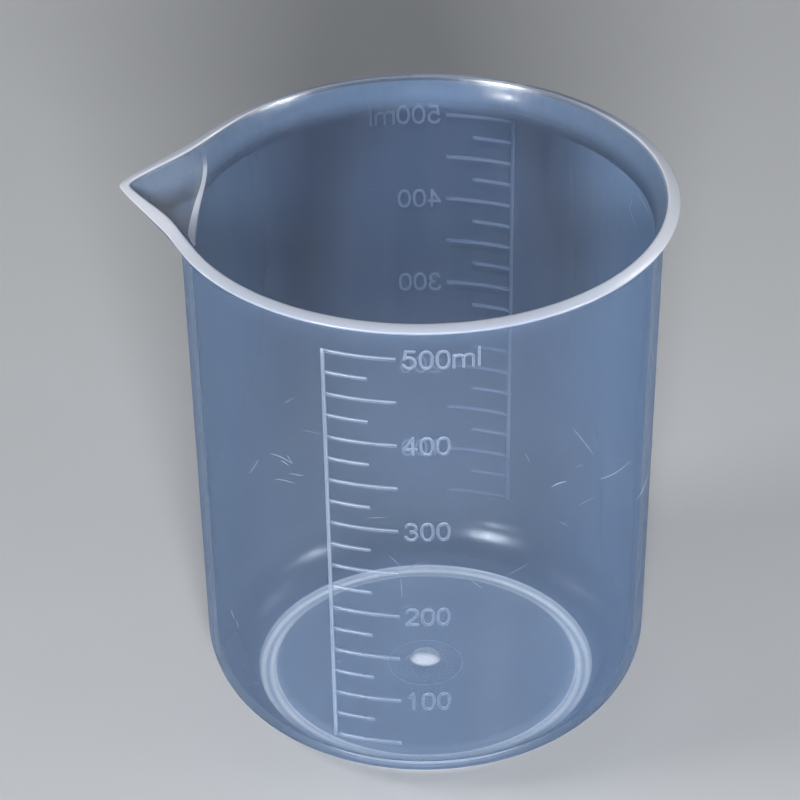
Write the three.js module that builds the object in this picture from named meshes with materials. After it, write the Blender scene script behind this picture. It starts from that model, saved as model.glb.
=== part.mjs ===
// A measuring jug moulded in clear polypropylene: a tapered beaker with a flared rim, a pouring
// spout, a foot ring and a raised millilitre scale on the front and on the rear.
// Millimetres, +Z up. The axis is Z, the jug stands on z = 0 and the spout points along -X.
import * as THREE from "three";

// Body
const BASE_RADIUS = 41.4; // outside, where the wall's slope meets the level of the floor's underside
const MOUTH_RADIUS = 43.9; // outside, where the wall's slope meets the top of the lip
const HEIGHT = 106; // standing plane to the top of the lip
const WALL = 1.6;
const FLOOR = 1.5;
const HEEL_RADIUS = 12.4; // outside round between floor and wall
const FOOT_HEIGHT = 0.7; // clear space under the floor
const FOOT_WIDTH = 2.8; // the foot ring runs out from the floor's edge, under the heel
const GATE_RADIUS = 2.5;
const GATE_HEIGHT = 0.9;

// Rim
const FLARE_HEIGHT = 6.9; // height of the flared band, up to the top of the lip
const LIP_OVERHANG = 2.8; // how far the lip stands out from the wall
const LIP_WIDTH = 2.4; // sloping edge face of the lip
const LIP_TILT = THREE.MathUtils.degToRad(20); // the edge face falls outwards

// Spout
const SPOUT_LENGTH = 8.6; // tip beyond the lip's round
const SPOUT_HALF_WIDTH = 17.5; // where the outside edges leave the lip's round
const CHANNEL_HALF_WIDTH = 14; // where the channel's edges leave the lip's round
const SPOUT_LIP = 1.5; // width of the lip beside the tip, narrower than on the round
const KEEL_DEPTH = 14.2; // lip's outer edge down to where the keel leaves the wall
const VALLEY_RISE = 1.2; // the channel's valley starts this far above the keel
const SPOUT_SKIRT = 1.5; // plain wall under the keel that belongs to the spout
const SPOUT_EDGE = 0.5; // softness of the spout's meeting with the wall and the rim
const TIP_SOFTNESS = THREE.MathUtils.degToRad(1.2); // rounds the tip
const SPOUT_MARGIN = THREE.MathUtils.degToRad(6); // plain rim on each side that belongs to the spout
const LEAST_CREASE = THREE.MathUtils.degToRad(2); // half-width of the facets where the beak dies out

// Scale
const FULL_ML = 500;
const LOWEST_ML = 50;
const CUBIC_MM_PER_ML = 1000;
const MARK_ML = 25;
const LONG_MARK_ML = 50;
const MARK_WIDTH = 0.7;
const MARK_RELIEF = 0.35;
const LONG_MARK = 12.5;
const SHORT_MARK = 7.5;
const SPINE_WIDTH = 0.7;
const SPINE_OFFSET = 13.5; // spine's outer edge from the middle of the jug's front

// Facets
const FACETS = 72;
const HEEL_STEPS = 7;
const FLARE_STEPS = 5;
const SPOUT_WALL_STEPS = 7;
const FLANK_FACETS = 9; // from the spout's middle line to a crease
const SIDE_FACETS = 6; // from a crease to the spout's end
const GATE_FACETS = 24;
const GATE_STEPS = 4;
const SLICE = 0.05; // height of one slice when the inside is measured

const FACET = (2 * Math.PI) / FACETS;
const CREASE_SHARE = FLANK_FACETS / (FLANK_FACETS + SIDE_FACETS);
const SPOUT_AT = Math.PI;
const FRONT_AT = -Math.PI / 2;
const REAR_AT = Math.PI / 2;

// The wall leans outwards by a small angle, inside and outside alike.
const SLOPE = (MOUTH_RADIUS - BASE_RADIUS) / (HEIGHT - FOOT_HEIGHT);
const LEAN = Math.atan(SLOPE);
const wallOuter = (z) => BASE_RADIUS + SLOPE * (z - FOOT_HEIGHT);
const wallInner = (z) => wallOuter(z) - WALL / Math.cos(LEAN);

// The heel turns from the flat floor to the wall's slope.
const HEEL_TURN = Math.PI / 2 - LEAN;
const FLOOR_RADIUS = BASE_RADIUS + SLOPE * HEEL_RADIUS - HEEL_RADIUS / Math.cos(LEAN);
const FLOOR_TOP = FOOT_HEIGHT + FLOOR;
const HEEL_TOP = FOOT_HEIGHT + HEEL_RADIUS * (1 - Math.cos(HEEL_TURN));
const HEEL_INNER_REACH = (wallInner(HEEL_TOP) - FLOOR_RADIUS) / Math.sin(HEEL_TURN);
const HEEL_INNER_RISE = (HEEL_TOP - FLOOR_TOP) / (1 - Math.cos(HEEL_TURN));

// The lip's two edges, and where the flare starts.
const FLARE_START = HEIGHT - FLARE_HEIGHT;
const LIP_OUTER_RADIUS = MOUTH_RADIUS + LIP_OVERHANG;
const LIP_OUTER_Z = HEIGHT - LIP_WIDTH * Math.sin(LIP_TILT);
const LIP_INNER_RADIUS = LIP_OUTER_RADIUS - LIP_WIDTH * Math.cos(LIP_TILT);

// The keel and the valley run straight from the wall to the tip.
const KEEL_Z = LIP_OUTER_Z - KEEL_DEPTH;
const VALLEY_Z = KEEL_Z + VALLEY_RISE;
const SPOUT_BASE = KEEL_Z - SPOUT_SKIRT;
const OUTER_TIP = LIP_OUTER_RADIUS + SPOUT_LENGTH;
const OUTER_FLANK = flankAngle(OUTER_TIP, LIP_OUTER_RADIUS, SPOUT_HALF_WIDTH);
const INNER_TIP = OUTER_TIP - SPOUT_LIP / Math.sin(OUTER_FLANK);
const INNER_FLANK = flankAngle(INNER_TIP, LIP_INNER_RADIUS, CHANNEL_HALF_WIDTH);
const SPOUT_JOIN = Math.asin(SPOUT_HALF_WIDTH / LIP_OUTER_RADIUS);
const SECTOR_FACETS = Math.ceil((SPOUT_JOIN + SPOUT_MARGIN) / FACET);
const SECTOR = SECTOR_FACETS * FACET;

// Angle between the spout's middle line and a flank's edge, seen from above.
function flankAngle(tip, lipRadius, halfWidth) {
  return Math.atan2(halfWidth, tip - Math.sqrt(lipRadius ** 2 - halfWidth ** 2));
}

// Radius of the inside at a height.
function innerRadius(z) {
  if (z >= HEEL_TOP) return wallInner(z);
  const turn = Math.acos(1 - (z - FLOOR_TOP) / HEEL_INNER_RISE);
  return FLOOR_RADIUS + HEEL_INNER_REACH * Math.sin(turn);
}

// Height at which the inside holds a volume, by adding up thin slices from the floor.
function fillHeight(millilitres) {
  let z = FLOOR_TOP;
  let left = millilitres * CUBIC_MM_PER_ML;
  while (left > 0) {
    const slice = Math.PI * innerRadius(z + SLICE / 2) ** 2 * SLICE;
    z += SLICE * Math.min(1, left / slice);
    left -= slice;
  }
  return z;
}

// Evenly spaced numbers from one value to another.
function spread(from, to, steps) {
  return Array.from({ length: steps + 1 }, (_, i) => from + ((to - from) * i) / steps);
}

// Point at an angle round the axis.
function around(angle, radius, z) {
  return new THREE.Vector3(radius * Math.cos(angle), radius * Math.sin(angle), z);
}

// A closed body between an outer and an inner skin, made of the filled cells of a grid of angles
// and levels. A ring that goes all the way round is closed.
function shell({ angles, levels, outer, inner, closed = false, filled = () => true }) {
  const columns = angles.length;
  const cellColumns = closed ? columns : columns - 1;
  const cellRows = levels.length - 1;
  const points = [];
  for (const level of levels) {
    for (const angle of angles) points.push(outer(angle, level), inner(angle, level));
  }
  const at = (i, j, side) => 2 * (j * columns + (i % columns)) + side;
  const column = (i) => (closed ? (i + columns) % columns : i);
  const has = (i, j) => {
    const inside = j >= 0 && j < cellRows && (closed || (i >= 0 && i < cellColumns));
    return inside && filled(column(i), j);
  };
  const index = [];
  const quad = (a, b, c, d) => index.push(a, b, c, a, c, d);
  for (let j = 0; j < cellRows; j++) {
    for (let i = 0; i < cellColumns; i++) {
      if (!has(i, j)) continue;
      const [o00, o10, o11, o01] = [at(i, j, 0), at(i + 1, j, 0), at(i + 1, j + 1, 0), at(i, j + 1, 0)];
      const [n00, n10, n11, n01] = [o00 + 1, o10 + 1, o11 + 1, o01 + 1];
      quad(o00, o10, o11, o01);
      quad(n00, n01, n11, n10);
      if (!has(i, j - 1)) quad(n00, n10, o10, o00);
      if (!has(i, j + 1)) quad(o01, o11, n11, n01);
      if (!has(i - 1, j)) quad(n00, o00, o01, n01);
      if (!has(i + 1, j)) quad(n10, n11, o11, o10);
    }
  }
  const geometry = new THREE.BufferGeometry().setFromPoints(points).setIndex(index);
  geometry.computeVertexNormals();
  return geometry;
}

// Facet angles all round, counted from the spout.
const allRound = Array.from({ length: FACETS }, (_, i) => SPOUT_AT + i * FACET);
const inSector = (i) => i < SECTOR_FACETS || i >= FACETS - SECTOR_FACETS;

// A revolved solid whose facets line up with those of the wall.
function revolve(outline, facets) {
  const profile = outline.map(([radius, z]) => new THREE.Vector2(radius, z));
  const geometry = new THREE.LatheGeometry(profile, facets, SPOUT_AT + Math.PI / 2);
  return geometry.rotateX(Math.PI / 2);
}

function floorDisc() {
  const outline = [
    [0, FOOT_HEIGHT],
    [FLOOR_RADIUS, FOOT_HEIGHT],
    [FLOOR_RADIUS, FLOOR_TOP],
    [0, FLOOR_TOP],
  ];
  return revolve(outline, FACETS);
}

// A shallow dome left by the mould's inlet, flat on the floor.
function gateMark() {
  const dome = spread(0, Math.PI / 2, GATE_STEPS).map((turn) => [
    GATE_RADIUS * Math.cos(turn),
    FLOOR_TOP + GATE_HEIGHT * Math.sin(turn),
  ]);
  dome[GATE_STEPS][0] = 0;
  return revolve([[0, FLOOR_TOP], ...dome], GATE_FACETS);
}

// The heel's first step spans the foot ring, which seats on it.
const FOOT_TURN = Math.asin(FOOT_WIDTH / HEEL_RADIUS);
const heelOuter = (turn) => [
  FLOOR_RADIUS + HEEL_RADIUS * Math.sin(turn),
  FOOT_HEIGHT + HEEL_RADIUS * (1 - Math.cos(turn)),
];
const heelInner = (turn) => [
  FLOOR_RADIUS + HEEL_INNER_REACH * Math.sin(turn),
  FLOOR_TOP + HEEL_INNER_RISE * (1 - Math.cos(turn)),
];

function heel() {
  return shell({
    angles: allRound,
    levels: [0, ...spread(FOOT_TURN, HEEL_TURN, HEEL_STEPS)],
    outer: (angle, turn) => around(angle, ...heelOuter(turn)),
    inner: (angle, turn) => around(angle, ...heelInner(turn)),
    closed: true,
  });
}

function footRing() {
  return shell({
    angles: allRound,
    levels: [0, FOOT_TURN].map(heelOuter),
    outer: (angle, [radius]) => around(angle, radius, 0),
    inner: (angle, [radius, z]) => around(angle, radius, z),
    closed: true,
  });
}

// A level of the wall or of the flare: radius and height outside and inside.
function wallLevel(z) {
  return { outerRadius: wallOuter(z), outerZ: z, innerRadius: wallInner(z), innerZ: z };
}

function flareLevel(share) {
  const outerZ = THREE.MathUtils.lerp(FLARE_START, LIP_OUTER_Z, share);
  const innerZ = THREE.MathUtils.lerp(FLARE_START, HEIGHT, share);
  const outerGain = LIP_OUTER_RADIUS - wallOuter(LIP_OUTER_Z);
  const innerGain = LIP_INNER_RADIUS - wallInner(HEIGHT);
  return {
    outerRadius: wallOuter(outerZ) + outerGain * share ** 2,
    outerZ,
    innerRadius: wallInner(innerZ) + innerGain * share ** 2,
    innerZ,
  };
}

const flareLevels = spread(0, 1, FLARE_STEPS).map(flareLevel);
const plainOuter = (angle, level) => around(angle, level.outerRadius, level.outerZ);
const plainInner = (angle, level) => around(angle, level.innerRadius, level.innerZ);

// The wall leaves a gap for the spout above the spout's base.
function wall() {
  return shell({
    angles: allRound,
    levels: [HEEL_TOP, SPOUT_BASE, FLARE_START].map(wallLevel),
    outer: plainOuter,
    inner: plainInner,
    closed: true,
    filled: (i, j) => j === 0 || !inSector(i),
  });
}

function rim() {
  return shell({
    angles: allRound.slice(SECTOR_FACETS, FACETS - SECTOR_FACETS + 1),
    levels: flareLevels,
    outer: plainOuter,
    inner: plainInner,
  });
}

// Larger of two values, with a soft change between them.
function softMax(a, b, softness) {
  const near = Math.max(softness - Math.abs(a - b), 0);
  return Math.max(a, b) + near ** 2 / (4 * softness);
}

// Angle off the spout's middle line at which a beak's flank dies into a round skin.
function creaseAngle(roundRadius, tip, flank) {
  const meet = Math.asin(Math.min((tip * Math.sin(flank)) / roundRadius, 1)) - flank;
  const crease = Math.sqrt(Math.max(meet, 0) * (meet + 2 * TIP_SOFTNESS));
  return THREE.MathUtils.clamp(crease, LEAST_CREASE, SPOUT_JOIN + SPOUT_MARGIN / 2);
}

// Point of a skin that a straight-sided beak pushes out of a round one. The share runs from -1 to
// 1 across the spout, and CREASE_SHARE of it lies on the flanks.
function beak(share, roundRadius, z, tip, flank) {
  const crease = creaseAngle(roundRadius, tip, flank);
  const past = Math.max(Math.abs(share) - CREASE_SHARE, 0) / (1 - CREASE_SHARE);
  const off = crease * Math.min(Math.abs(share) / CREASE_SHARE, 1) + (SECTOR - crease) * past;
  const soft = Math.hypot(off, TIP_SOFTNESS) - TIP_SOFTNESS;
  const flankRadius = (tip * Math.sin(flank)) / Math.sin(Math.min(flank + soft, Math.PI / 2));
  const reach = softMax(roundRadius, flankRadius, SPOUT_EDGE) - roundRadius;
  const fade = 1 - THREE.MathUtils.smoothstep(off, SECTOR - FACET / 2, SECTOR);
  return around(SPOUT_AT + Math.sign(share) * off, roundRadius + reach * fade, z);
}

// Distance of the keel or the valley from the axis at a height.
function ridge(z, startZ, startRadius, endZ, endRadius) {
  return startRadius + ((endRadius - startRadius) * (z - startZ)) / (endZ - startZ);
}

function spout() {
  const wallLevels = spread(SPOUT_BASE, FLARE_START, SPOUT_WALL_STEPS).slice(0, -1).map(wallLevel);
  const half = spread(0, 1, FLANK_FACETS + SIDE_FACETS);
  return shell({
    angles: [...half.slice(1).map((share) => -share).reverse(), ...half],
    levels: [...wallLevels, ...flareLevels],
    outer: (share, { outerRadius, outerZ }) => {
      const tip = ridge(outerZ, KEEL_Z, wallOuter(KEEL_Z), LIP_OUTER_Z, OUTER_TIP);
      return beak(share, outerRadius, outerZ, tip, OUTER_FLANK);
    },
    inner: (share, { innerRadius, innerZ }) => {
      const tip = ridge(innerZ, VALLEY_Z, wallInner(VALLEY_Z), HEIGHT, INNER_TIP);
      return beak(share, innerRadius, innerZ, tip, INNER_FLANK);
    },
  });
}

// Radius of the wall's flat facets at an angle, which the scales seat on.
function facetRadius(angle, z) {
  const turns = (angle - SPOUT_AT) / FACET;
  const fromMiddle = (turns - Math.floor(turns) - 0.5) * FACET;
  return (wallOuter(z) * Math.cos(FACET / 2)) / Math.cos(fromMiddle);
}

// A raised spine with a mark at each volume, where the inside holds that volume.
function scale(middle) {
  const volumes = [];
  for (let ml = LOWEST_ML; ml <= FULL_ML; ml += MARK_ML) volumes.push(ml);
  const marks = volumes
    .map((ml) => ({ long: ml % LONG_MARK_ML === 0, z: fillHeight(ml) }))
    .filter(({ z }) => z - MARK_WIDTH / 2 > HEEL_TOP && z + MARK_WIDTH / 2 < FLARE_START);
  const levels = marks.flatMap(({ z }) => [z - MARK_WIDTH / 2, z + MARK_WIDTH / 2]);

  const radius = wallOuter((marks[0].z + marks[marks.length - 1].z) / 2);
  const start = middle - SPINE_OFFSET / radius;
  const spineEnd = start + SPINE_WIDTH / radius;
  const shortEnd = spineEnd + SHORT_MARK / radius;
  const longEnd = spineEnd + LONG_MARK / radius;
  const bends = [];
  const firstBend = Math.ceil((start - SPOUT_AT) / FACET);
  for (let i = firstBend; SPOUT_AT + i * FACET < longEnd; i++) bends.push(SPOUT_AT + i * FACET);
  const angles = [start, spineEnd, shortEnd, longEnd, ...bends].sort((a, b) => a - b);

  return shell({
    angles,
    levels,
    outer: (angle, z) => around(angle, facetRadius(angle, z) + MARK_RELIEF, z),
    inner: (angle, z) => around(angle, facetRadius(angle, z), z),
    filled: (i, j) => {
      if (angles[i] < spineEnd) return true;
      const mark = j % 2 === 0 ? marks[j / 2] : null;
      return mark !== null && angles[i] < (mark.long ? longEnd : shortEnd);
    },
  });
}

// One named mesh for each feature of the moulding.
const jug = new THREE.Group();

function add(name, geometry, { color = 0x9db2cc, roughness = 0.3 } = {}) {
  const material = new THREE.MeshStandardMaterial({ color, roughness, metalness: 0 });
  const mesh = new THREE.Mesh(geometry, material);
  mesh.name = name;
  jug.add(mesh);
}

const MARKS = { color: 0xc9d5e6, roughness: 0.45 };
add("floor", floorDisc());
add("gate_mark", gateMark());
add("heel", heel());
add("foot_ring", footRing());
add("wall", wall());
add("rim", rim(), { color: 0xb9c8dc });
add("spout", spout(), { color: 0xb9c8dc });
add("front_scale", scale(FRONT_AT), MARKS);
add("rear_scale", scale(REAR_AT), MARKS);

export default jug;
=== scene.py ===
"""A measuring jug of clear, slightly milky polypropylene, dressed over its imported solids.

One seamless moulded shell stands for the floor, gate mark, heel, foot ring, wall, rim and spout.
The raised scales, their numerals and the wear are pieces of their own. Metres, in the frame of
the solids: the jug's axis is Z, the spout points along -X and the front scale faces -Y.
"""

import math
import random

import bpy
import numpy as np
from mathutils import Matrix, Vector


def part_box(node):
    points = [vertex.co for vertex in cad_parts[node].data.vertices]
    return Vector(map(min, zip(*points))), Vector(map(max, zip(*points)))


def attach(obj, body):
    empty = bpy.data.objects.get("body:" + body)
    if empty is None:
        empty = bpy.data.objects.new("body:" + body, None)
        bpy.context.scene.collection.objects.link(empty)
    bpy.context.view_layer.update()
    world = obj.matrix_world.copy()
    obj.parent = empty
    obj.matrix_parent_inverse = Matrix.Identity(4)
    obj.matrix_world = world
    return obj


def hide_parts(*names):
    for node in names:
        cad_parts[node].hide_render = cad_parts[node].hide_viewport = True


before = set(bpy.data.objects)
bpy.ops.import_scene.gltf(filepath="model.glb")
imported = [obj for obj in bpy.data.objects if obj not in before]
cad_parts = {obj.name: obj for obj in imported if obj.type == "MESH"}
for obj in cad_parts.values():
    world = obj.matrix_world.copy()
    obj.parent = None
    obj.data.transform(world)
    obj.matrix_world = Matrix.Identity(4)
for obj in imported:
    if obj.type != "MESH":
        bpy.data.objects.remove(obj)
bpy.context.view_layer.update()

MM = 0.001

# Sizes that the solids give
rim_low, rim_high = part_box("rim")
wall_low, wall_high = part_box("wall")
heel_low, heel_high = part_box("heel")
floor_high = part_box("floor")[1]
ring_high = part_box("foot_ring")[1]
spout_low, spout_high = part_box("spout")
gate_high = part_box("gate_mark")[1]
scale_low, scale_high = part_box("front_scale")

HEIGHT = rim_high.z
LIP_RADIUS = rim_high.x
FLARE_START = rim_low.z
HEEL_TOP = wall_low.z
UNDERSIDE = heel_low.z
FLOOR_RADIUS = floor_high.x
FLOOR_TOP = floor_high.z
RING_RADIUS = ring_high.x
SPOUT_TIP = -spout_low.x
SPOUT_BASE = spout_low.z
GATE_RADIUS = gate_high.x
GATE_HEIGHT = gate_high.z - FLOOR_TOP
SLOPE = (wall_high.x - heel_high.x) / (FLARE_START - HEEL_TOP)
LEAN = math.atan(SLOPE)

# Sizes of the moulding that no box shows
WALL = 1.6 * MM
LIP_WIDTH = 2.4 * MM
LIP_TILT = math.radians(20)
LIP_OUTER_ROUND = 0.35 * MM
LIP_INNER_ROUND = 0.45 * MM
RING_ROUND = 0.3 * MM
WITNESS_RADIUS = 7.2 * MM
WITNESS_WIDTH = 0.35 * MM
WITNESS_DEPTH = 0.12 * MM

# Spout
SPOUT_SKIRT = 1.5 * MM
SPOUT_LIP = 1.5 * MM
SPOUT_HALF_WIDTH = 17.5 * MM
CHANNEL_HALF_WIDTH = 14 * MM
VALLEY_RISE = 1.2 * MM
TIP_DIP = 0.5 * MM
TIP_SOFTNESS = math.radians(1.4)
CREASE_SOFTNESS = 0.5 * MM
LIP_SOFTNESS = 1.1 * MM
LIP_INNER_SOFTNESS = 3 * MM
LEAST_CREASE = math.radians(2)
SECTOR = math.asin(spout_high.y / LIP_RADIUS)
STRIP_WIDTH_LOW, STRIP_WIDTH_HIGH = 2.0 * MM, 1.1 * MM
STRIP_EDGE = 0.12 * MM

# Columns and rows of the shell
FLANK_COLUMNS = 30
STRIP_COLUMNS = 8
SIDE_COLUMNS = 24
SECTOR_COLUMNS = 2 * (FLANK_COLUMNS + STRIP_COLUMNS + SIDE_COLUMNS) - 1
ROUND_COLUMNS = 240
WALL_ROWS = 24
SPOUT_ROWS = 26
FLARE_ROWS = 14
FLARE_LAST = 0.88
HEEL_ROWS = 16
ROUND_STEPS = 4
# Most that a rounded edge takes of the gap to the next row
MOST_ROUNDED = 0.45
RESTING_KNEE = SECTOR * 0.6

# Opacity of one skin of the plastic
OUTER_VEIL = 0.17
# Higher veils on skins with painted shade show more of it: the rear veils darken the inside, the heel's
# outer veil the bottom of the heel and the floor veil the floor.
INNER_VEIL, REAR_VEIL_LOW, REAR_VEIL_HIGH = 0.2, 0.46, 0.7
REAR_VEIL_START, REAR_VEIL_END = 28 * MM, 62 * MM
HEEL_VEIL_FLOOR, HEEL_VEIL = 0.06, 0.4
CHANNEL_VEIL = 0.6
HEEL_OUTER_VEIL = 0.55
UNDERSIDE_VEIL, FLOOR_VEIL = 0.36, 0.43

# Painted glow and painted highlights: paleness of edges that seem to gather light
LIP_PAINTED_GLOW, LIP_PAINTED_GLOW_FRONT, LIP_PAINTED_GLOW_BACK = 1.0, 0.55, 0.28
STRIP_PAINTED_HIGHLIGHT = 0.55
GATE_PAINTED_HIGHLIGHT_FRONT, GATE_PAINTED_HIGHLIGHT_BACK = 0.8, 0.2
# Distance from the inner edge of the foot ring, and paleness of painted highlights: pale at two bands with
# a dimmer stretch between
RING_PAINTED_HIGHLIGHTS = ((0.8 * MM, 1.0), (1.2 * MM, 0.4), (1.6 * MM, 0.4), (2.0 * MM, 1.0))

# Painted shade: share of the dark tone that stands for shade inside, less on the flare and at the inside's
# left and right, and some on the bottom of the heel
FLARE_SHADE = 0.42
LEFT_LIGHT, RIGHT_LIGHT = 0.35, 0.95
HEEL_SHADE = 0.55


def wall_outer(z):
    return wall_high.x + SLOPE * (z - FLARE_START)


def wall_inner(z):
    return wall_outer(z) - WALL / math.cos(LEAN)


def lerp(a, b, share):
    return a + (b - a) * share


def smoothstep(value, start, end):
    share = np.clip((value - start) / (end - start), 0, 1)
    return share * share * (3 - 2 * share)


LIP_OUTER_Z = HEIGHT - LIP_WIDTH * math.sin(LIP_TILT)
LIP_INNER_RADIUS = LIP_RADIUS - LIP_WIDTH * math.cos(LIP_TILT)
KEEL_Z = SPOUT_BASE + SPOUT_SKIRT
VALLEY_Z = KEEL_Z + VALLEY_RISE


def flank_angle(tip, lip_radius, half_width):
    return math.atan2(half_width, tip - math.sqrt(lip_radius**2 - half_width**2))


OUTER_FLANK = flank_angle(SPOUT_TIP, LIP_RADIUS, SPOUT_HALF_WIDTH)
INNER_TIP = SPOUT_TIP - SPOUT_LIP / math.sin(OUTER_FLANK)
INNER_FLANK = flank_angle(INNER_TIP, LIP_INNER_RADIUS, CHANNEL_HALF_WIDTH)


class Skin:
    """The outer or the inner skin near the spout: a straight-sided beak pushed out of a round."""

    def __init__(self, start_z, start_radius, end_z, end_radius, flank, dip):
        self.start_z, self.start_radius = start_z, start_radius
        self.end_z, self.end_radius = end_z, end_radius
        self.flank, self.dip = flank, dip

    def ridge(self, z):
        share = (z - self.start_z) / (self.end_z - self.start_z)
        return lerp(self.start_radius, self.end_radius, share)

    def columns(self, knee, z):
        """Angles off the spout's middle line, close together at both edges of the crease's strip."""
        width = lerp(STRIP_WIDTH_HIGH, STRIP_WIDTH_LOW, float(smoothstep(HEIGHT - z, 3 * MM, 12 * MM)))
        strip = min(width / LIP_RADIUS, knee * 0.6)
        edge = min(STRIP_EDGE / LIP_RADIUS, knee * 0.1)
        flank = np.linspace(0, knee - strip - edge, FLANK_COLUMNS)
        lit = np.linspace(knee - strip, knee, STRIP_COLUMNS)
        side = np.linspace(knee + edge, SECTOR, SIDE_COLUMNS)
        half = np.concatenate([flank, lit, side])
        return np.concatenate([-half[:0:-1], half])

    def row(self, radius, z, softness):
        """Points all round at one level, and which of them lie in the strip beside a crease."""
        side = self.ridge(z) * math.sin(self.flank)
        meet = max(math.asin(min(max(side / max(radius, 1e-6), -1), 1)) - self.flank, 0)
        crease = math.sqrt(meet * (meet + 2 * TIP_SOFTNESS))
        below = float(smoothstep(self.start_z - z, 0, 25 * MM))
        knee = min(max(crease, lerp(LEAST_CREASE, RESTING_KNEE, below)), SECTOR * 0.9)

        signed = self.columns(knee, z)
        off = np.abs(signed)
        soft = np.hypot(off, TIP_SOFTNESS) - TIP_SOFTNESS
        flank_radius = side / np.sin(np.minimum(self.flank + soft, math.pi / 2))
        near = np.maximum(softness - np.abs(flank_radius - radius), 0)
        pushed = np.maximum(flank_radius, radius) + near**2 / (4 * softness)
        beak = radius + (pushed - radius) * (1 - smoothstep(off, SECTOR * 0.92, SECTOR))

        rest = np.linspace(SECTOR, 2 * math.pi - SECTOR, ROUND_COLUMNS + 1)[1:-1]
        angles = math.pi + np.concatenate([signed, rest])
        radii = np.concatenate([beak, np.full(len(rest), radius)])
        reach = (radii - radius) / (self.end_radius - radius) if self.dip else 0
        levels = z - self.dip * float(smoothstep(z, FLARE_START, HEIGHT)) * reach + 0 * radii
        points = np.stack([radii * np.cos(angles), radii * np.sin(angles), levels], 1)
        strip = np.zeros(len(radii))
        if z > self.start_z:
            for first in (SIDE_COLUMNS, SECTOR_COLUMNS - SIDE_COLUMNS - STRIP_COLUMNS):
                strip[first : first + STRIP_COLUMNS] = 1
        return points, strip


outer_skin = Skin(KEEL_Z, wall_outer(KEEL_Z), LIP_OUTER_Z, SPOUT_TIP, OUTER_FLANK, 0)
inner_skin = Skin(VALLEY_Z, wall_inner(VALLEY_Z), HEIGHT, INNER_TIP, INNER_FLANK, TIP_DIP)


def flare(share, low_z, high_z, wall_radius, lip_radius):
    """Radius and height in the flared band."""
    z = lerp(low_z, high_z, share)
    return wall_radius(z) + (lip_radius - wall_radius(high_z)) * share**2, z


def inner_veil(points):
    """Painted shade: the dark inner skin is more opaque at the back, most of all in its upper part, so the
    inside looks darker there.
    """
    upper = smoothstep(points[:, 2], REAR_VEIL_START, REAR_VEIL_END)
    rear = smoothstep(points[:, 1] / LIP_RADIUS, -0.3, 0.5)
    return lerp(INNER_VEIL, lerp(REAR_VEIL_LOW, REAR_VEIL_HIGH, upper), rear)


def inner_shade(points):
    """Painted light: the inside is painted lighter at its left and, more so, at its right."""
    right = points[:, 0] / LIP_RADIUS
    return 1 - LEFT_LIGHT * smoothstep(-right, 0.5, 0.95) - RIGHT_LIGHT * smoothstep(right, 0.4, 0.9)


def lip_pale(points):
    """Painted glow: the lip is palest at its sides, less so at the front and least at the back."""
    towards_front = -points[:, 1] / np.hypot(points[:, 0], points[:, 1])
    front, back = smoothstep(towards_front, 0.2, 1), smoothstep(-towards_front, 0.4, 1)
    return LIP_PAINTED_GLOW + (LIP_PAINTED_GLOW_FRONT - LIP_PAINTED_GLOW) * front + (LIP_PAINTED_GLOW_BACK - LIP_PAINTED_GLOW) * back


def gate_pale(points):
    """The gate mark is a lens with a painted highlight on its front edge."""
    return lerp(GATE_PAINTED_HIGHLIGHT_BACK, GATE_PAINTED_HIGHLIGHT_FRONT, smoothstep(-points[:, 1] / GATE_RADIUS, -0.2, 0.6))


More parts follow.
